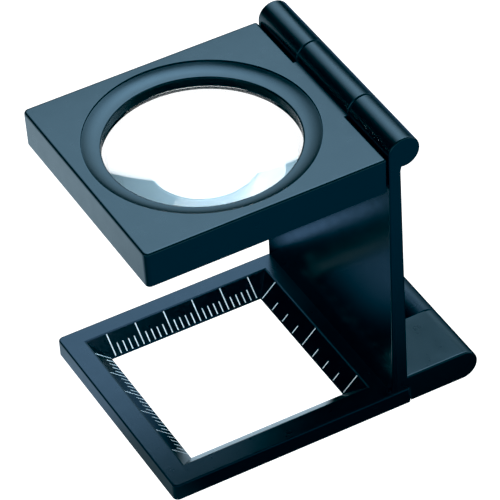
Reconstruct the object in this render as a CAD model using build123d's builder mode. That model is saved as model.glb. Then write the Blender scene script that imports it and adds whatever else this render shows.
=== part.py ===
from build123d import *

import os
from math import cos, radians, sin, sqrt

# Folding viewing loupe: base frame, upright and lens holder joined by two pin hinges.
# Millimetres. +Z up, +Y across the width, the upright and hinges are on the +X side.
# Origin: centre of the footprint, on the plane that the base frame stands on.

# Overall
WIDTH = 38.7
EDGE_FILLET = 0.3
CORNER_RADIUS = 0.9
BACK_CORNER_RADIUS = 0.5
FACE_GAP = 0.05
SIDE_GAP = 0.15

# Base frame and its counting window
BASE_FRONT = -25.5
BASE_BACK = 15.3
BASE_HEIGHT = 2.88
WINDOW_FRONT = -19.3
WINDOW_LENGTH = 26.48
WINDOW_FAR = 13.34
WINDOW_WIDTH = 26.12
WINDOW_LIP = 0.4
BEVEL_FRONT = 2.81
BEVEL_BACK = 2.67
BEVEL_FAR = 3.0
BEVEL_NEAR = 3.08
BROKEN_EDGE_DEPTH = 0.1
BROKEN_EDGE_SPREAD = 0.14
TONGUE_OVERLAP = 2.4
TONGUE_TOE = 1.2

# Engraved, paint-filled scales on the bevels
LINE_WIDTH = 0.18
LINE_DEPTH = 0.1
LINE_LOW_MARGIN = 0.08
LINE_HIGH_MARGIN = 0.2
MM_PITCH = 1.0
MM_LINES = 26
MM_LONG_EVERY = 5
MM_SHORT = 0.49
INCH_PITCH = 25.4 / 8
INCH_LINES = 9
INCH_LONG_EVERY = 4
INCH_SHORT = 0.43
START_MM_FAR = 0.85
START_MM_FRONT = 0.19
START_INCH_BACK = 0.5
START_INCH_NEAR = 0.32

# Hinges: both axes are parallel to Y
BARREL_RADIUS = 2.6
PIN_RADIUS = 1.0
PIN_CLEARANCE = 0.03
PIN_END_CHAMFER = 0.2
PIN_RECESS = 0.25
BLIND_WALL = 1.6
GROOVE_DEPTH = 0.2
UPPER_AXIS_X = 15.35
UPPER_AXIS_Z = 49.06
LOWER_AXIS_X = 24.5
LOWER_AXIS_Z = 2.75
UPPER_KNUCKLE_HALF = 7.45
LOWER_KNUCKLE_HALF = 7.8

# Upright
WALL_INNER_BOTTOM = 12.13
WALL_OUTER_BOTTOM = 14.8
WALL_OUTER_TOP = 14.72
NOTCH_FLOOR = 46.41
ARM_SWING_RADIUS = 9.5
ARM_SWING_GAP = 0.1
ARM_OVERLAP = 1.0

# Lens holder plate
PLATE_FRONT = -26.98
PLATE_BACK = 12.5
PLATE_TOP = 49.0
PLATE_BOTTOM = 42.8
PLATE_DRAFT = 1.0
PLATE_TOP_FILLET = 0.45
PLATE_BOTTOM_FILLET = 0.2
TAB_OVERLAP = 1.5
LENS_X = -7.4

# Lens and its retaining ring, on the axis x = LENS_X
RECESS_RADIUS = 17.65
LENS_RADIUS = 15.2
SEAT_RADIUS = 15.25
APERTURE_RADIUS = 14.7
FLARE_RADIUS = 16.0
LEDGE_DROP = 0.3
LENS_EDGE_BOTTOM = 45.1
LENS_EDGE_TOP = 45.95
LENS_CURVE = 52.0
RING_OUTER_RADIUS = 17.61
RING_INNER_RADIUS = 14.75
RING_LIP_TOP = 48.0
RING_LIP_ROUND = 0.25
RING_COVE_RADIUS = 5.2
RING_CONE_HEIGHT = 0.4
BORE_OVERSHOOT = 1.0

HALF = WIDTH / 2
WINDOW_BACK = WINDOW_FRONT + WINDOW_LENGTH
WINDOW_NEAR = WINDOW_FAR - WINDOW_WIDTH
BEVEL_DROP = BASE_HEIGHT - WINDOW_LIP
UPPER_JOINT = UPPER_KNUCKLE_HALF + SIDE_GAP / 2
LOWER_JOINT = LOWER_KNUCKLE_HALF + SIDE_GAP / 2
TOUCH = 1e-4
LENS_AXIS = Axis((LENS_X, 0, 0), (0, 0, 1))


def side_plane(y):
    """Plane across the width at y: local x is +X, local y is +Z, extrusions go towards -Y."""
    return Plane.XZ.offset(-y)


def plate_outline(front, back):
    """Draws a plate's outline in the active sketch, with rounder corners at the front."""
    with Locations(((front + back) / 2, 0)):
        Rectangle(back - front, WIDTH)
    fillet(vertices().group_by(Axis.X)[0], CORNER_RADIUS)
    fillet(vertices().group_by(Axis.X)[-1], BACK_CORNER_RADIUS)


def window_outline(share, spread=0.0):
    """Draws the window at a share of the bevels' height, spread outwards, in the active sketch."""
    front = WINDOW_FRONT - share * BEVEL_FRONT - spread
    back = WINDOW_BACK + share * BEVEL_BACK + spread
    near = WINDOW_NEAR - share * BEVEL_NEAR - spread
    far = WINDOW_FAR + share * BEVEL_FAR + spread
    with Locations(((front + back) / 2, (near + far) / 2)):
        Rectangle(back - front, far - near)


def slope_length(bevel_width):
    """Length of a bevel measured down its slope."""
    return sqrt(bevel_width**2 + BEVEL_DROP**2)


def bevel_plane(corner, along, outward, bevel_width):
    """Plane lying on a bevel: local x runs along the rail, local y up the slope from the window."""
    up_slope = Vector(*outward, 0) * bevel_width + Vector(0, 0, BEVEL_DROP)
    normal = Vector(*along, 0).cross(up_slope)
    return Plane(origin=(*corner, WINDOW_LIP), x_dir=(*along, 0), z_dir=normal)


def scale_lines(start, pitch, count, long_every, short_share, bevel_width):
    """Draws one rail's graduations in the active sketch."""
    full = slope_length(bevel_width) - LINE_LOW_MARGIN - LINE_HIGH_MARGIN
    for index in range(count):
        length = full if index % long_every == 0 else full * short_share
        with Locations((start + index * pitch, LINE_LOW_MARGIN + length / 2)):
            Rectangle(LINE_WIDTH, length)


# Each rail: node name, plane on its bevel and the arguments of its graduations.
# Rails whose local x has to run towards -X or -Y start from the opposite window corner.
RAILS = {
    "scale_mm_far": (
        bevel_plane((WINDOW_FRONT, WINDOW_FAR), (1, 0), (0, 1), BEVEL_FAR),
        (START_MM_FAR, MM_PITCH, MM_LINES, MM_LONG_EVERY, MM_SHORT, BEVEL_FAR),
    ),
    "scale_mm_front": (
        bevel_plane((WINDOW_FRONT, WINDOW_NEAR), (0, 1), (-1, 0), BEVEL_FRONT),
        (
            WINDOW_WIDTH - START_MM_FRONT - (MM_LINES - 1) * MM_PITCH,
            MM_PITCH,
            MM_LINES,
            MM_LONG_EVERY,
            MM_SHORT,
            BEVEL_FRONT,
        ),
    ),
    "scale_inch_back": (
        bevel_plane((WINDOW_BACK, WINDOW_FAR), (0, -1), (1, 0), BEVEL_BACK),
        (START_INCH_BACK, INCH_PITCH, INCH_LINES, INCH_LONG_EVERY, INCH_SHORT, BEVEL_BACK),
    ),
    "scale_inch_near": (
        bevel_plane((WINDOW_BACK, WINDOW_NEAR), (-1, 0), (0, -1), BEVEL_NEAR),
        (
            WINDOW_LENGTH - START_INCH_NEAR - (INCH_LINES - 1) * INCH_PITCH,
            INCH_PITCH,
            INCH_LINES,
            INCH_LONG_EVERY,
            INCH_SHORT,
            BEVEL_NEAR,
        ),
    ),
}


def barrel_and_tab(axis_x, axis_z, tab):
    """Draws a hinge barrel's side profile with the tab that joins it to its plate."""
    with Locations((axis_x, axis_z)):
        Circle(BARREL_RADIUS)
    Polygon(*tab, align=None)


def knuckle_grooves(axis_x, axis_z, joint_y, quarters):
    """Cuts a V groove round a barrel at the joints at +joint_y and -joint_y, ending underneath."""
    start_angle = 90 * (quarters - 1)
    radial = (cos(radians(start_angle)), 0, sin(radians(start_angle)))
    for side in (1, -1):
        start = Plane(
            origin=(axis_x, side * joint_y, axis_z),
            x_dir=radial,
            z_dir=Vector(*radial).cross(Vector(0, 1, 0)),
        )
        with BuildSketch(start) as vee:
            Polygon(
                (BARREL_RADIUS - GROOVE_DEPTH, 0),
                (BARREL_RADIUS + GROOVE_DEPTH, 2 * GROOVE_DEPTH),
                (BARREL_RADIUS + GROOVE_DEPTH, -2 * GROOVE_DEPTH),
                align=None,
            )
        revolve(
            vee.sketch,
            axis=Axis((axis_x, 0, axis_z), (0, 1, 0)),
            revolution_arc=90 * quarters,
            mode=Mode.SUBTRACT,
        )


# ---------------------------------------------------------------- base frame
TONGUE_ROOT = BASE_BACK - TONGUE_OVERLAP

with BuildPart() as base_frame:
    with BuildSketch():
        plate_outline(BASE_FRONT, BASE_BACK)
    extrude(amount=BASE_HEIGHT)
    fillet(base_frame.faces().sort_by(Axis.Z)[-1].edges(), EDGE_FILLET)
    # hollow back end, along the arc in which the upright's arms swing past it
    with BuildSketch(side_plane(HALF)):
        with Locations((LOWER_AXIS_X, LOWER_AXIS_Z)):
            Circle(ARM_SWING_RADIUS + ARM_SWING_GAP)
    extrude(amount=WIDTH, mode=Mode.SUBTRACT)
    # tongue and middle knuckle of the lower hinge
    with BuildSketch(side_plane(LOWER_KNUCKLE_HALF)):
        barrel_and_tab(
            LOWER_AXIS_X,
            LOWER_AXIS_Z,
            [
                (TONGUE_ROOT, 0),
                (LOWER_AXIS_X - TONGUE_TOE, 0),
                (LOWER_AXIS_X, LOWER_AXIS_Z - BARREL_RADIUS),
                (LOWER_AXIS_X, BASE_HEIGHT - FACE_GAP),
                (TONGUE_ROOT, BASE_HEIGHT - FACE_GAP),
            ],
        )
    extrude(amount=2 * LOWER_KNUCKLE_HALF)
    with BuildSketch(side_plane(LOWER_KNUCKLE_HALF)):
        with Locations((LOWER_AXIS_X, LOWER_AXIS_Z)):
            Circle(PIN_RADIUS + PIN_CLEARANCE)
    extrude(amount=2 * LOWER_KNUCKLE_HALF, mode=Mode.SUBTRACT)
    # counting window, its four bevels and the broken edge above them
    with BuildSketch():
        window_outline(0)
    extrude(amount=WINDOW_LIP, mode=Mode.SUBTRACT)
    with BuildSketch(Plane.XY.offset(WINDOW_LIP)):
        window_outline(0)
    with BuildSketch(Plane.XY.offset(BASE_HEIGHT)):
        window_outline(1)
    loft(ruled=True, mode=Mode.SUBTRACT)
    with BuildSketch(Plane.XY.offset(BASE_HEIGHT - BROKEN_EDGE_DEPTH)):
        window_outline(1 - BROKEN_EDGE_DEPTH / BEVEL_DROP)
    with BuildSketch(Plane.XY.offset(BASE_HEIGHT)):
        window_outline(1, BROKEN_EDGE_SPREAD)
    loft(ruled=True, mode=Mode.SUBTRACT)
    knuckle_grooves(LOWER_AXIS_X, LOWER_AXIS_Z, LOWER_JOINT, 3)
    # engraved grooves of the scales
    for rail_plane, rail_lines in RAILS.values():
        with BuildSketch(rail_plane):
            scale_lines(*rail_lines)
        extrude(amount=-LINE_DEPTH, mode=Mode.SUBTRACT)

# ---------------------------------------------------------------- paint in the grooves
scales = {}
for rail_name, (rail_plane, rail_lines) in RAILS.items():
    with BuildPart() as scale:
        with BuildSketch(rail_plane):
            scale_lines(*rail_lines)
        extrude(amount=-LINE_DEPTH)
    scales[rail_name] = scale

# ---------------------------------------------------------------- upright
WALL_BOTTOM = BASE_HEIGHT + FACE_GAP
BARREL_FRONT_X = UPPER_AXIS_X - BARREL_RADIUS
ARM_TOP = LOWER_AXIS_Z + BARREL_RADIUS
ARM_BOTTOM = LOWER_AXIS_Z - BARREL_RADIUS
ARM_ROOT = WALL_OUTER_BOTTOM - ARM_OVERLAP
# Below the wall the arms are cut back to an arc about the lower hinge, to swing past the base.
ARC_TOP_RISE = WALL_BOTTOM - LOWER_AXIS_Z
ARC_LOW_RISE = ARM_BOTTOM - LOWER_AXIS_Z
ARC_TOP_X = LOWER_AXIS_X - sqrt(ARM_SWING_RADIUS**2 - ARC_TOP_RISE**2)
ARC_LOW_X = LOWER_AXIS_X - sqrt(ARM_SWING_RADIUS**2 - ARC_LOW_RISE**2)
ARM_GAP_HALF = LOWER_KNUCKLE_HALF + SIDE_GAP
NOTCH_HALF = UPPER_KNUCKLE_HALF + SIDE_GAP
NOTCH_LENGTH = 3 * BARREL_RADIUS
NOTCH_DEPTH = 3 * BARREL_RADIUS
OUTER_RIM_SHORTEST = 8.0

with BuildPart() as upright:
    with BuildSketch(side_plane(HALF)):
        barrel_and_tab(
            UPPER_AXIS_X,
            UPPER_AXIS_Z,
            [
                (WALL_INNER_BOTTOM, WALL_BOTTOM),
                (BARREL_FRONT_X, UPPER_AXIS_Z),
                (UPPER_AXIS_X, UPPER_AXIS_Z),
                (WALL_OUTER_TOP, UPPER_AXIS_Z - BARREL_RADIUS),
                (WALL_OUTER_BOTTOM, ARM_TOP),
                (WALL_OUTER_BOTTOM, WALL_BOTTOM),
            ],
        )
    extrude(amount=WIDTH)
    # notch for the lens holder's knuckle
    with BuildSketch(Plane.XY.offset(NOTCH_FLOOR)):
        with Locations((UPPER_AXIS_X, 0)):
            Rectangle(NOTCH_LENGTH, 2 * NOTCH_HALF)
    extrude(amount=NOTCH_DEPTH, mode=Mode.SUBTRACT)
    # two rear arms that reach the lower hinge
    for arm_outer in (HALF, -ARM_GAP_HALF):
        with BuildSketch(side_plane(arm_outer)):
            with Locations((LOWER_AXIS_X, LOWER_AXIS_Z)):
                Circle(BARREL_RADIUS)
            with BuildLine():
                Polyline(
                    (ARC_TOP_X, WALL_BOTTOM),
                    (ARM_ROOT, WALL_BOTTOM),
                    (ARM_ROOT, ARM_TOP),
                    (LOWER_AXIS_X, ARM_TOP),
                    (LOWER_AXIS_X, ARM_BOTTOM),
                    (ARC_LOW_X, ARM_BOTTOM),
                )
                RadiusArc((ARC_LOW_X, ARM_BOTTOM), (ARC_TOP_X, WALL_BOTTOM), ARM_SWING_RADIUS)
            make_face()
        extrude(amount=HALF - ARM_GAP_HALF)
    # blind pin bores, open at the +Y end
    for axis_x, axis_z in ((UPPER_AXIS_X, UPPER_AXIS_Z), (LOWER_AXIS_X, LOWER_AXIS_Z)):
        with BuildSketch(side_plane(HALF)):
            with Locations((axis_x, axis_z)):
                Circle(PIN_RADIUS)
        extrude(amount=WIDTH - BLIND_WALL, mode=Mode.SUBTRACT)
    # soft outer rims all round, but not at the bores' mouths, which are shorter
    outer_rims = (
        upright.edges()
        .filter_by(lambda edge: abs(abs(edge.center().Y) - HALF) < TOUCH)
        .filter_by(lambda edge: edge.length > OUTER_RIM_SHORTEST)
    )
    fillet(outer_rims, EDGE_FILLET)
    knuckle_grooves(UPPER_AXIS_X, UPPER_AXIS_Z, UPPER_JOINT, 3)
    knuckle_grooves(LOWER_AXIS_X, LOWER_AXIS_Z, LOWER_JOINT, 2)

# ---------------------------------------------------------------- lens holder
TAB_ROOT = PLATE_BACK - TAB_OVERLAP

with BuildPart() as lens_holder:
    with BuildSketch(Plane.XY.offset(PLATE_TOP)):
        plate_outline(PLATE_FRONT, PLATE_BACK)
    extrude(amount=-(PLATE_TOP - PLATE_BOTTOM), taper=PLATE_DRAFT)
    fillet(lens_holder.faces().sort_by(Axis.Z)[-1].edges(), PLATE_TOP_FILLET)
    fillet(lens_holder.faces().sort_by(Axis.Z)[0].edges(), PLATE_BOTTOM_FILLET)
    # middle knuckle of the upper hinge
    with BuildSketch(side_plane(UPPER_KNUCKLE_HALF)):
        barrel_and_tab(
            UPPER_AXIS_X,
            UPPER_AXIS_Z,
            [
                (TAB_ROOT, UPPER_AXIS_Z - BARREL_RADIUS),
                (UPPER_AXIS_X, UPPER_AXIS_Z - BARREL_RADIUS),
                (UPPER_AXIS_X, PLATE_TOP),
                (TAB_ROOT, PLATE_TOP),
            ],
        )
    extrude(amount=2 * UPPER_KNUCKLE_HALF)
    with BuildSketch(side_plane(UPPER_KNUCKLE_HALF)):
        with Locations((UPPER_AXIS_X, UPPER_AXIS_Z)):
            Circle(PIN_RADIUS + PIN_CLEARANCE)
    extrude(amount=2 * UPPER_KNUCKLE_HALF, mode=Mode.SUBTRACT)
    knuckle_grooves(UPPER_AXIS_X, UPPER_AXIS_Z, UPPER_JOINT, 3)
    # stepped bore: ring recess, lens seat with a coned ledge, aperture that flares downwards
    with BuildSketch(Plane.XZ):
        with BuildLine():
            Polyline(
                (LENS_X, PLATE_BOTTOM - BORE_OVERSHOOT),
                (LENS_X + FLARE_RADIUS, PLATE_BOTTOM - BORE_OVERSHOOT),
                (LENS_X + FLARE_RADIUS, PLATE_BOTTOM),
                (LENS_X + APERTURE_RADIUS, LENS_EDGE_BOTTOM - LEDGE_DROP),
                (LENS_X + SEAT_RADIUS, LENS_EDGE_BOTTOM),
                (LENS_X + SEAT_RADIUS, LENS_EDGE_TOP),
                (LENS_X + RECESS_RADIUS, LENS_EDGE_TOP),
                (LENS_X + RECESS_RADIUS, PLATE_TOP + BORE_OVERSHOOT),
                (LENS_X, PLATE_TOP + BORE_OVERSHOOT),
                close=True,
            )
        make_face()
    revolve(axis=LENS_AXIS, mode=Mode.SUBTRACT)

# ---------------------------------------------------------------- lens
SAG = LENS_CURVE - sqrt(LENS_CURVE**2 - LENS_RADIUS**2)

with BuildPart() as lens:
    with BuildSketch(Plane.XZ):
        with BuildLine():
            top_apex = (LENS_X, LENS_EDGE_TOP + SAG)
            top_rim = (LENS_X + LENS_RADIUS, LENS_EDGE_TOP)
            bottom_rim = (LENS_X + LENS_RADIUS, LENS_EDGE_BOTTOM)
            bottom_apex = (LENS_X, LENS_EDGE_BOTTOM - SAG)
            RadiusArc(top_apex, top_rim, LENS_CURVE)
            Line(top_rim, bottom_rim)
            RadiusArc(bottom_rim, bottom_apex, LENS_CURVE)
            Line(bottom_apex, top_apex)
        make_face()
    revolve(axis=LENS_AXIS)

# ---------------------------------------------------------------- lens retaining ring
# A hollow cove rises from the rounded inner lip almost to the top of the plate.
LIP_CENTRE_RADIUS = RING_INNER_RADIUS + RING_LIP_ROUND
COVE_WIDTH = RING_OUTER_RADIUS - LIP_CENTRE_RADIUS
COVE_RISE = RING_COVE_RADIUS - sqrt(RING_COVE_RADIUS**2 - COVE_WIDTH**2)

with BuildPart() as lens_retaining_ring:
    with BuildSketch(Plane.XZ):
        with BuildLine():
            rim = (LENS_X + RING_OUTER_RADIUS, RING_LIP_TOP + COVE_RISE)
            lip = (LENS_X + LIP_CENTRE_RADIUS, RING_LIP_TOP)
            inner = (LENS_X + RING_INNER_RADIUS, RING_LIP_TOP - RING_LIP_ROUND)
            RadiusArc(rim, lip, RING_COVE_RADIUS)
            RadiusArc(lip, inner, -RING_LIP_ROUND)
            Polyline(
                inner,
                (LENS_X + RING_INNER_RADIUS, LENS_EDGE_TOP + RING_CONE_HEIGHT),
                (LENS_X + LENS_RADIUS, LENS_EDGE_TOP),
                (LENS_X + RING_OUTER_RADIUS, LENS_EDGE_TOP),
                rim,
            )
        make_face()
    revolve(axis=LENS_AXIS)


# ---------------------------------------------------------------- hinge pins
def hinge_pin(axis_x, axis_z):
    """A plain pin from just inside the +Y end of its bore to the blind end."""
    with BuildPart() as pin:
        with BuildSketch(side_plane(HALF - PIN_RECESS)):
            with Locations((axis_x, axis_z)):
                Circle(PIN_RADIUS)
        extrude(amount=WIDTH - BLIND_WALL - PIN_RECESS - FACE_GAP)
        chamfer(pin.edges().filter_by(GeomType.CIRCLE), PIN_END_CHAMFER)
    return pin


upper_hinge_pin = hinge_pin(UPPER_AXIS_X, UPPER_AXIS_Z)
lower_hinge_pin = hinge_pin(LOWER_AXIS_X, LOWER_AXIS_Z)

# ---------------------------------------------------------------- export
os.makedirs("parts", exist_ok=True)

pieces = {
    "base_frame": base_frame,
    "upright": upright,
    "lens_holder": lens_holder,
    "lens": lens,
    "lens_retaining_ring": lens_retaining_ring,
    "upper_hinge_pin": upper_hinge_pin,
    "lower_hinge_pin": lower_hinge_pin,
    **scales,
}
for node_name, piece in pieces.items():
    piece.part.label = node_name
    export_step(piece.part, f"parts/{node_name}.step")
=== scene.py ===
import math

import bpy
from mathutils import Matrix, Vector


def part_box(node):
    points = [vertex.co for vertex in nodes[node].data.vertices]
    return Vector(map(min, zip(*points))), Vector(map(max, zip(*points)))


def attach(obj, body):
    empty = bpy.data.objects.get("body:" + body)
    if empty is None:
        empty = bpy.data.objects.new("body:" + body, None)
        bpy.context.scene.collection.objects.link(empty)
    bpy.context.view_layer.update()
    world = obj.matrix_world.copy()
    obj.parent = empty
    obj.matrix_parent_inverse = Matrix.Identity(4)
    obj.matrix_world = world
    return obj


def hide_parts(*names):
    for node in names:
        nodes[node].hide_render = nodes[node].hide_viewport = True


# Looks of the folding viewing loupe. Metres, in the row frame: +Z up, hinges on the +X side.
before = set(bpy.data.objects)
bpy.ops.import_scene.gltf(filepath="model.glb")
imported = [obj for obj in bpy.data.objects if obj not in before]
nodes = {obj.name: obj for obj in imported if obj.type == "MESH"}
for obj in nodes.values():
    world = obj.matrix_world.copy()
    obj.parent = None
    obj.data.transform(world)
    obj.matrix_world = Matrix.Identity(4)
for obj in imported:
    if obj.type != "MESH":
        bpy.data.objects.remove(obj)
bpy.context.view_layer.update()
MM = 0.001

# ------------------------------------------------------------------ camera
# Azimuth 0 looks along +Y; the camera stands back far enough for a nearly parallel view.
CAMERA_AZIMUTH = -26.565
CAMERA_ELEVATION = 40.945
CAMERA_ROLL = -3.763
CAMERA_DISTANCE = 567.9 * MM
CAMERA_TARGET = Vector((-1.42, -1.28, 25.0)) * MM
CAMERA_CLIPPING = (0.01, 20.0)
SENSOR_WIDTH = 36.0
FOCAL_LENGTH = 273.46


def add_camera():
    data = bpy.data.cameras.new("camera")
    data.sensor_width = SENSOR_WIDTH
    data.lens = FOCAL_LENGTH
    data.clip_start, data.clip_end = CAMERA_CLIPPING
    camera = bpy.data.objects.new("camera", data)
    bpy.context.scene.collection.objects.link(camera)
    azimuth = math.radians(CAMERA_AZIMUTH)
    elevation = math.radians(CAMERA_ELEVATION)
    back = Vector(
        (
            math.sin(azimuth) * math.cos(elevation),
            -math.cos(azimuth) * math.cos(elevation),
            math.sin(elevation),
        )
    )
    roll = Matrix.Rotation(math.radians(CAMERA_ROLL), 4, "Z")
    aim = back.to_track_quat("Z", "Y").to_matrix().to_4x4()
    camera.matrix_world = Matrix.Translation(CAMERA_TARGET + back * CAMERA_DISTANCE) @ aim @ roll
    bpy.context.scene.camera = camera


# ------------------------------------------------------------------ node helpers
def new_material(name):
    material = bpy.data.materials.new(name)
    material.use_nodes = True
    tree = material.node_tree
    return material, tree, tree.nodes["Principled BSDF"]


def object_noise(tree, scale, detail):
    """Noise in object space; scale is in features per metre."""
    coordinates = tree.nodes.new("ShaderNodeTexCoord")
    noise = tree.nodes.new("ShaderNodeTexNoise")
    noise.inputs["Scale"].default_value = scale
    noise.inputs["Detail"].default_value = detail
    tree.links.new(coordinates.outputs["Object"], noise.inputs["Vector"])
    return noise.outputs["Fac"]


def ramp(tree, source, stops):
    """A colour ramp with a (position, colour) pair for each stop."""
    node = tree.nodes.new("ShaderNodeValToRGB")
    elements = node.color_ramp.elements
    while len(elements) < len(stops):
        elements.new(0.5)
    for element, (position, colour) in zip(elements, stops):
        element.position = position
        element.color = (*colour, 1.0)
    tree.links.new(source, node.inputs["Fac"])
    return node.outputs["Color"]


def bump(tree, height, strength, distance):
    node = tree.nodes.new("ShaderNodeBump")
    node.inputs["Strength"].default_value = strength
    node.inputs["Distance"].default_value = distance
    tree.links.new(height, node.inputs["Height"])
    return node.outputs["Normal"]


def math_node(tree, operation, first, second):
    """A Math node; an input is a socket or a number."""
    node = tree.nodes.new("ShaderNodeMath")
    node.operation = operation
    for index, value in enumerate((first, second)):
        if isinstance(value, bpy.types.NodeSocket):
            tree.links.new(value, node.inputs[index])
        else:
            node.inputs[index].default_value = value
    return node.outputs["Value"]


def smooth_range(tree, value, start, end):
    """Goes smoothly from 0 at start to 1 at end, which may be the lower of the two."""
    node = tree.nodes.new("ShaderNodeMapRange")
    node.interpolation_type = "SMOOTHSTEP"
    node.inputs["From Min"].default_value = min(start, end)
    node.inputs["From Max"].default_value = max(start, end)
    node.inputs["To Min"].default_value = 0.0 if start < end else 1.0
    node.inputs["To Max"].default_value = 1.0 if start < end else 0.0
    tree.links.new(value, node.inputs["Value"])
    return node.outputs["Result"]


def tinted(tree, value, tint):
    """A colour from a scalar."""
    node = tree.nodes.new("ShaderNodeVectorMath")
    node.operation = "SCALE"
    node.inputs[0].default_value = tint
    tree.links.new(value, node.inputs["Scale"])
    return node.outputs["Vector"]


def add_colours(tree, first, second):
    node = tree.nodes.new("ShaderNodeVectorMath")
    tree.links.new(first, node.inputs[0])
    tree.links.new(second, node.inputs[1])
    return node.outputs["Vector"]


def mix_shaders(tree, share, first, second):
    """The second shader in the given share, which is a socket or a number, and the first for the rest."""
    node = tree.nodes.new("ShaderNodeMixShader")
    if isinstance(share, bpy.types.NodeSocket):
        tree.links.new(share, node.inputs["Fac"])
    else:
        node.inputs["Fac"].default_value = share
    tree.links.new(first, node.inputs[1])
    tree.links.new(second, node.inputs[2])
    return node.outputs["Shader"]


# ------------------------------------------------------------------ materials
PAINT = (0.0003, 0.0010, 0.0016)
# lighter paint on edges: worn-thin paint, and a painted highlight for the light line that a lit rounded
# edge shows
EDGE_WEAR_AND_HIGHLIGHT_PAINT = (0.008, 0.018, 0.026)
PAINT_GLOSS_TINT = (0.71, 0.85, 1.0)
# painted shade: the base frame has the same paint as the rest, with its gloss tinted darker for the
# dimmer light that its low faces mirror under the lens plate
SHADED_BASE_GLOSS_TINT = (0.42, 0.53, 0.78)
MOTTLING_RANGE = (0.9, 1.12)
EDGE_WEAR_AND_HIGHLIGHT_RADIUS = 0.35 * MM
EDGE_WEAR_AND_HIGHLIGHT_SAMPLES = 6
# cosines of how far the rounded normal leans at an edge, where the paint is worn and a highlight is
# painted, and on a flat face
EDGE_WEAR_AND_HIGHLIGHT_COSINES = (0.80, 0.985)
GLOSS_SPREAD = (-0.04, 0.06)
# The upright's wide inner face lies below x = 12.8 mm, and it ends under the knuckles.
INNER_FACE_X = (12.95 * MM, 12.8 * MM)
INNER_FACE_TOP = (46.6 * MM, 46.2 * MM)
GLASS_IOR = 1.517
COATING_IOR = 1.6


def edge_wear_and_highlight_share(tree):
    """1 on edges, where the paint is worn thin and a highlight is painted, and 0 on flat faces, from how
    far a rounded normal leans off the true one.
    """
    rounded = tree.nodes.new("ShaderNodeBevel")
    rounded.samples = EDGE_WEAR_AND_HIGHLIGHT_SAMPLES
    rounded.inputs["Radius"].default_value = EDGE_WEAR_AND_HIGHLIGHT_RADIUS
    geometry = tree.nodes.new("ShaderNodeNewGeometry")
    lean = tree.nodes.new("ShaderNodeVectorMath")
    lean.operation = "DOT_PRODUCT"
    tree.links.new(rounded.outputs["Normal"], lean.inputs[0])
    tree.links.new(geometry.outputs["Normal"], lean.inputs[1])
    worn_and_lit, flat = EDGE_WEAR_AND_HIGHLIGHT_COSINES
    return ramp(tree, lean.outputs["Value"], [(worn_and_lit, (1, 1, 1)), (flat, (0, 0, 0))])


def inner_face_share(tree):
    """1 on the upright's wide inner face and 0 on its barrels, its arms and its other sides."""
    coordinates = tree.nodes.new("ShaderNodeTexCoord")
    split = tree.nodes.new("ShaderNodeSeparateXYZ")
    tree.links.new(coordinates.outputs["Object"], split.inputs[0])
    inner = smooth_range(tree, split.outputs["X"], *INNER_FACE_X)
    below = smooth_range(tree, split.outputs["Z"], *INNER_FACE_TOP)
    return math_node(tree, "MULTIPLY", inner, below)


def enamel(name, gloss_tint, roughness, polished=None):
    """Semi-gloss sprayed paint on die-cast metal: fine orange peel, faint mottling, and lighter on edges,
    where it is worn thin and a painted highlight stands in for the light line that a lit rounded edge
    shows.

    With polished, the upright's inner face has that roughness instead."""
    material, tree, shader = new_material(name)
    mottling = object_noise(tree, scale=160.0, detail=4.0)
    dark, light = ([level * share for level in PAINT] for share in MOTTLING_RANGE)
    mix = tree.nodes.new("ShaderNodeMix")
    mix.data_type = "RGBA"
    # painted edge highlight and worn paint: the edges get the lighter colour
    mix.inputs["B"].default_value = (*EDGE_WEAR_AND_HIGHLIGHT_PAINT, 1.0)
    tree.links.new(edge_wear_and_highlight_share(tree), mix.inputs["Factor"])
    tree.links.new(ramp(tree, mottling, [(0.3, dark), (0.7, light)]), mix.inputs["A"])
    tree.links.new(mix.outputs["Result"], shader.inputs["Base Color"])
    spread = tree.nodes.new("ShaderNodeMapRange")
    spread.inputs["To Min"].default_value = roughness + GLOSS_SPREAD[0]
    spread.inputs["To Max"].default_value = roughness + GLOSS_SPREAD[1]
    tree.links.new(object_noise(tree, scale=420.0, detail=3.0), spread.inputs["Value"])
    gloss = spread.outputs["Result"]
    if polished is not None:
        smoother = math_node(tree, "MULTIPLY", inner_face_share(tree), roughness - polished)
        gloss = math_node(tree, "SUBTRACT", gloss, smoother)
    tree.links.new(gloss, shader.inputs["Roughness"])
    peel = object_noise(tree, scale=2600.0, detail=2.0)
    tree.links.new(bump(tree, peel, strength=0.12, distance=0.05 * MM), shader.inputs["Normal"])
    shader.inputs["Specular Tint"].default_value = (*gloss_tint, 1.0)
    return material


def white_paint():
    """Matt white paint wiped into the engraved lines, a little uneven."""
    material, tree, shader = new_material("scale_paint")
    uneven = object_noise(tree, scale=900.0, detail=3.0)
    tint = ramp(tree, uneven, [(0.3, (0.62, 0.68, 0.72)), (0.6, (0.9, 0.94, 0.97))])
    tree.links.new(tint, shader.inputs["Base Color"])
    tree.links.new(bump(tree, uneven, strength=0.2, distance=0.02 * MM), shader.inputs["Normal"])
    shader.inputs["Roughness"].default_value = 0.6
    return material


def turned_steel():
    """Plain steel pin ends with fine turning marks."""
    material, tree, shader = new_material("pin_steel")
    marks = object_noise(tree, scale=3000.0, detail=2.0)
    tint = ramp(tree, marks, [(0.3, (0.42, 0.43, 0.45)), (0.7, (0.6, 0.61, 0.63))])
    tree.links.new(tint, shader.inputs["Base Color"])
    tree.links.new(bump(tree, marks, strength=0.15, distance=0.02 * MM), shader.inputs["Normal"])
    shader.inputs["Metallic"].default_value = 1.0
    shader.inputs["Roughness"].default_value = 0.32
    return material


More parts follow.
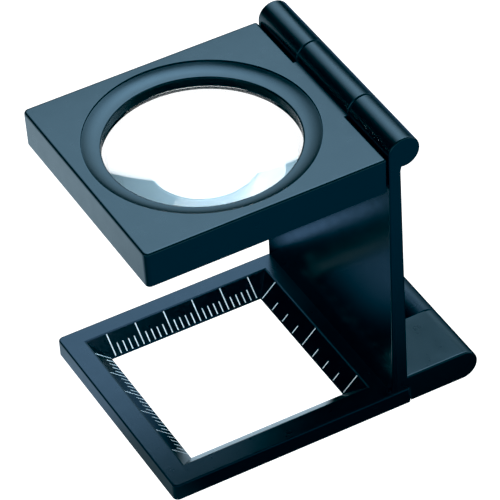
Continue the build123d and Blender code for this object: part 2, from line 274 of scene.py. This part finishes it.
def optical_glass():
    """Clear polished glass with a thin glossy coating."""
    material, _, shader = new_material("lens_glass")
    shader.inputs["Base Color"].default_value = (1.0, 1.0, 1.0, 1.0)
    shader.inputs["Roughness"].default_value = 0.0
    shader.inputs["IOR"].default_value = GLASS_IOR
    shader.inputs["Transmission Weight"].default_value = 1.0
    shader.inputs["Coat Weight"].default_value = 1.0
    shader.inputs["Coat Roughness"].default_value = 0.0
    shader.inputs["Coat IOR"].default_value = COATING_IOR
    return material


def dress(material, *names):
    """Gives the CAD nodes one material in every slot."""
    for name in names:
        for slot in nodes[name].material_slots:
            slot.material = material


# ------------------------------------------------------------------ pieces
LENS_CURVE = 52.0 * MM
LENS_FACE_STEPS = 24
SPIN_STEPS = 192
SHARP_EDGE = math.radians(30)


def spun_piece(name, profile, centre, material, body, node):
    """A smooth solid of revolution about a vertical axis, which stands for a CAD node.

    The profile is a list of (radius, height), whose first and last points lie on the axis."""
    rings = profile[1:-1]
    vertices = [(centre.x, centre.y, profile[0][1])]
    for radius, height in rings:
        for step in range(SPIN_STEPS):
            angle = 2 * math.pi * step / SPIN_STEPS
            vertices.append(
                (centre.x + radius * math.cos(angle), centre.y + radius * math.sin(angle), height)
            )
    vertices.append((centre.x, centre.y, profile[-1][1]))
    apex = len(vertices) - 1
    steps = [(step, (step + 1) % SPIN_STEPS) for step in range(SPIN_STEPS)]
    faces = [(0, 1 + after, 1 + step) for step, after in steps]
    for ring in range(len(rings) - 1):
        low = 1 + ring * SPIN_STEPS
        high = low + SPIN_STEPS
        faces += [(low + step, low + after, high + after, high + step) for step, after in steps]
    last = apex - SPIN_STEPS
    faces += [(last + step, last + after, apex) for step, after in steps]
    mesh = bpy.data.meshes.new(name)
    mesh.from_pydata(vertices, [], faces)
    mesh.validate()
    mesh.update()
    piece = bpy.data.objects.new(name, mesh)
    bpy.context.scene.collection.objects.link(piece)
    mesh.materials.append(material)
    for polygon in mesh.polygons:
        polygon.use_smooth = True
    mesh.set_sharp_from_angle(angle=SHARP_EDGE)
    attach(piece, body)
    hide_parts(node)
    return piece


def glass_lens():
    """The biconvex lens with truly round faces, from the CAD node's box and its faces' radius."""
    low, high = (Vector(corner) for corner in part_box("lens"))
    centre = (low + high) / 2
    radius = (high.x - low.x) / 2
    widest = math.asin(radius / LENS_CURVE)
    top = []
    bottom = []
    for step in range(LENS_FACE_STEPS + 1):
        angle = widest * step / LENS_FACE_STEPS
        across = LENS_CURVE * math.sin(angle)
        drop = LENS_CURVE * (1 - math.cos(angle))
        top.append((across, high.z - drop))
        bottom.append((across, low.z + drop))
    lens = spun_piece("lens_glass", bottom + top[::-1], centre, optical_glass(), "lens_plate", "lens")


# ------------------------------------------------------------------ stage
FLOOR_SIZE = 4.0
# below the stand and the lens holder where they hang folded under the base frame
FLOOR_HEIGHT = -0.060
PAPER_WHITE = 1.4
PAPER_SHADED_SHARE = 0.06
# The table as the object's glossy faces mirror it: soft-edged glowing patches on a dark plane.
# Each fade is (dark place, lit place) in millimetres along x or y, and the level is a radiance.
LIT_PAPER = (0.75, 1.02, 1.2)
SHADED_PAPER = (0.45, 0.82, 1.4)
TABLE_PATCHES = (
    # to the left, and brighter further back: the faces towards -X
    {"x": [(-19, -26)], "y": [(-30, -15)], "level": 0.24, "tint": LIT_PAPER},
    {"x": [(-19, -26)], "y": [(-30, -15), (-14, 55)], "level": 0.88, "tint": LIT_PAPER},
    # in the window, along its near side: the near bevel
    {
        "x": [(-23, -21), (6, 4)],
        "y": [(-14.5, -13.5), (-7.5, -9.5)],
        "level": 1.4,
        "tint": LIT_PAPER,
    },
    # behind the far rail: the top of the upright's inner face
    {
        "x": [(-16, -8), (10, 4)],
        "y": [(22.31, 23.09), (25.69, 24.91)],
        "level": 0.8,
        "tint": SHADED_PAPER,
    },
    # in the far half of the window: the middle of the upright's inner face
    {"x": [(7, -3)], "y": [(-6, 6), (24, 14)], "level": 0.28, "tint": SHADED_PAPER},
    # in front: the faces towards -Y
    {"x": [], "y": [(-22, -55)], "level": 0.28, "tint": SHADED_PAPER},
    # to the right: the hinge barrels' right side
    {"x": [(30, 60)], "y": [(-10, 30)], "level": 0.26, "tint": SHADED_PAPER},
)


def stage_card(name, corners, material):
    mesh = bpy.data.meshes.new(name)
    mesh.from_pydata(corners, [], [(0, 1, 2, 3)])
    mesh.materials.append(material)
    card = bpy.data.objects.new(name, mesh)
    bpy.context.scene.collection.objects.link(card)
    return card


def stage_plane(name, height, material):
    half = FLOOR_SIZE / 2
    corners = [(x, y, height) for x, y in ((-half, -half), (half, -half), (half, half), (-half, half))]
    return stage_card(name, corners, material)


def add_floor():
    """The pale paper floor that is seen directly and through the lens; from below it is clear."""
    material, tree, shader = new_material("floor_paper")
    shader.inputs["Base Color"].default_value = (0.9, 0.9, 0.9, 1)
    shader.inputs["Roughness"].default_value = 0.9
    shader.inputs["Specular IOR Level"].default_value = 0.0
    glow = tree.nodes.new("ShaderNodeEmission")
    glow.inputs["Strength"].default_value = PAPER_WHITE
    clear = tree.nodes.new("ShaderNodeBsdfTransparent")
    geometry = tree.nodes.new("ShaderNodeNewGeometry")
    paper = mix_shaders(tree, PAPER_SHADED_SHARE, glow.outputs["Emission"], shader.outputs["BSDF"])
    one_sided = mix_shaders(tree, geometry.outputs["Backfacing"], paper, clear.outputs["BSDF"])
    tree.links.new(one_sided, tree.nodes["Material Output"].inputs["Surface"])
    floor = stage_plane("floor", FLOOR_HEIGHT, material)
    floor.visible_glossy = False
    floor.visible_diffuse = False
    floor.visible_shadow = False


def table_patch(tree, places, patch):
    """The radiance of one patch; places holds the x and y sockets."""
    share = patch["level"]
    for axis, place in places.items():
        for dark, lit in patch[axis]:
            fade = smooth_range(tree, place, dark * MM, lit * MM)
            share = math_node(tree, "MULTIPLY", fade, share)
    return tinted(tree, share, patch["tint"])


def add_table_reflection():
    """The plane under the object that only its reflections see."""
    material, tree, _ = new_material("table_reflection")
    coordinates = tree.nodes.new("ShaderNodeTexCoord")
    split = tree.nodes.new("ShaderNodeSeparateXYZ")
    tree.links.new(coordinates.outputs["Object"], split.inputs[0])
    places = {"x": split.outputs["X"], "y": split.outputs["Y"]}
    colour = table_patch(tree, places, TABLE_PATCHES[0])
    for patch in TABLE_PATCHES[1:]:
        colour = add_colours(tree, colour, table_patch(tree, places, patch))
    glow = tree.nodes.new("ShaderNodeEmission")
    tree.links.new(colour, glow.inputs["Color"])
    tree.links.new(glow.outputs["Emission"], tree.nodes["Material Output"].inputs["Surface"])
    plane = stage_plane("table_reflection", 0.0, material)
    plane.visible_camera = False
    plane.visible_diffuse = False
    plane.visible_transmission = False
    plane.visible_shadow = False


# ------------------------------------------------------------------ light
# A big round diffuser hangs above and behind the object, brightest in its middle; the rest of the
# studio is dark. Its brightness goes with the cosine of the angle from its middle. It is shaded on
# the left, by the slope x / y of the direction, and in front, by the direction's y.
DIFFUSER_MIDDLE = Vector((0.30, 0.35, 0.89)).normalized()
DIFFUSER_LEVELS = [
    (0.40, 0.0),
    (0.55, 0.035),
    (0.70, 0.09),
    (0.83, 0.19),
    (0.92, 0.36),
    (0.97, 0.50),
    (1.0, 0.72),
]
DIFFUSER_PEAK = 10.3
LEFT_SHADE = (-0.52, -0.26)
LEAST_DEPTH = 0.15
FRONT_SHADE = (-0.10, 0.12)
# a dim band low in front and at the sides, which the object's top mirrors when seen from behind
BAND_TOP = (0.56, 0.42)
BAND_BACK = (0.30, -0.10)
BAND_LEVEL = 1.0
SKY_TINT = (0.56, 0.88, 1.08)
# y, then left and right x, then low and high z of each black card
FLAG_CARDS = (
    (0.040, (-0.040, 0.036), (0.0525, 0.0630)),
    (0.040, (0.036, 0.110), (0.050, 0.084)),
    (0.019, (0.013, 0.028), (0.030, 0.0465)),
    (0.019, (0.0065, 0.013), (0.020, 0.0465)),
)
FILL_PLACE = Vector((-0.30, -0.55, 0.55))
FILL_SIZE = 0.35
FILL_POWER = 3.0
DARK_TONES_CUT = (0.0075, 0.0008, 0.0)


def diffuser_level(tree, direction):
    """The diffuser's radiance, and the low band's, in a direction."""
    split = tree.nodes.new("ShaderNodeSeparateXYZ")
    tree.links.new(direction, split.inputs[0])
    x, y, z = (split.outputs[axis] for axis in "XYZ")
    towards = tree.nodes.new("ShaderNodeVectorMath")
    towards.operation = "DOT_PRODUCT"
    towards.inputs[1].default_value = DIFFUSER_MIDDLE
    tree.links.new(direction, towards.inputs[0])
    stops = [(cosine, (share,) * 3) for cosine, share in DIFFUSER_LEVELS]
    level = ramp(tree, towards.outputs["Value"], stops)
    slope = math_node(tree, "DIVIDE", x, math_node(tree, "MAXIMUM", y, LEAST_DEPTH))
    level = math_node(tree, "MULTIPLY", level, smooth_range(tree, slope, *LEFT_SHADE))
    level = math_node(tree, "MULTIPLY", level, smooth_range(tree, y, *FRONT_SHADE))
    level = math_node(tree, "MULTIPLY", level, DIFFUSER_PEAK)
    low = smooth_range(tree, z, *BAND_TOP)
    band = math_node(tree, "MULTIPLY", low, smooth_range(tree, y, *BAND_BACK))
    return math_node(tree, "ADD", level, math_node(tree, "MULTIPLY", band, BAND_LEVEL))


def add_world():
    """Plain white behind the object; for everything else the diffuser in a dark room."""
    world = bpy.data.worlds.new("studio")
    bpy.context.scene.world = world
    world.use_nodes = True
    tree = world.node_tree
    coordinates = tree.nodes.new("ShaderNodeTexCoord")
    level = diffuser_level(tree, coordinates.outputs["Generated"])
    studio = tree.nodes["Background"]
    tree.links.new(tinted(tree, level, SKY_TINT), studio.inputs["Color"])
    white = tree.nodes.new("ShaderNodeBackground")
    white.inputs["Color"].default_value = (1, 1, 1, 1)
    white.inputs["Strength"].default_value = PAPER_WHITE
    paths = tree.nodes.new("ShaderNodeLightPath")
    seen = math_node(
        tree, "MAXIMUM", paths.outputs["Is Camera Ray"], paths.outputs["Is Transmission Ray"]
    )
    mixed = mix_shaders(tree, seen, studio.outputs["Background"], white.outputs["Background"])
    tree.links.new(mixed, tree.nodes["World Output"].inputs["Surface"])


def add_flags():
    """Black cards behind the object, which dim the diffuser as the low faces mirror it."""
    material, _, shader = new_material("flag_black")
    shader.inputs["Base Color"].default_value = (0, 0, 0, 1)
    shader.inputs["Specular IOR Level"].default_value = 0.0
    for number, (y, (left, right), (low, high)) in enumerate(FLAG_CARDS, 1):
        corners = [(left, y, low), (right, y, low), (right, y, high), (left, y, high)]
        flag = stage_card(f"flag_{number}", corners, material)
        flag.visible_camera = False
        flag.visible_diffuse = False
        flag.visible_transmission = False


def add_fill():
    """A soft front light for the matt paint in the scales; it leaves no highlight on the gloss."""
    data = bpy.data.lights.new("fill", "AREA")
    data.size = FILL_SIZE
    data.energy = FILL_POWER
    fill = bpy.data.objects.new("fill", data)
    fill.location = FILL_PLACE
    fill.rotation_euler = FILL_PLACE.to_track_quat("Z", "Y").to_euler()
    bpy.context.scene.collection.objects.link(fill)
    fill.visible_camera = False
    fill.visible_glossy = False
    fill.visible_transmission = False


def set_grade():
    """Standard colours with a slight grade: the darkest tones lose their red."""
    view = bpy.context.scene.view_settings
    view.view_transform = "Standard"
    view.use_curve_mapping = True
    view.curve_mapping.black_level = DARK_TONES_CUT
    view.curve_mapping.update()


# ------------------------------------------------------------------ the whole scene
add_camera()
add_floor()
add_table_reflection()
add_world()
add_flags()
add_fill()

dress(enamel("body_paint", PAINT_GLOSS_TINT, roughness=0.28), "lens_holder")
# painted shade: the base frame's copy of the paint mirrors its light darker
dress(enamel("shaded_base_paint", SHADED_BASE_GLOSS_TINT, roughness=0.28), "base_frame")
dress(enamel("upright_paint", PAINT_GLOSS_TINT, roughness=0.28, polished=0.18), "upright")
dress(enamel("ring_paint", PAINT_GLOSS_TINT, roughness=0.24), "lens_retaining_ring")
dress(turned_steel(), "upper_hinge_pin", "lower_hinge_pin")
dress(white_paint(), "scale_mm_far", "scale_mm_front", "scale_inch_back", "scale_inch_near")
glass_lens()
set_grade()
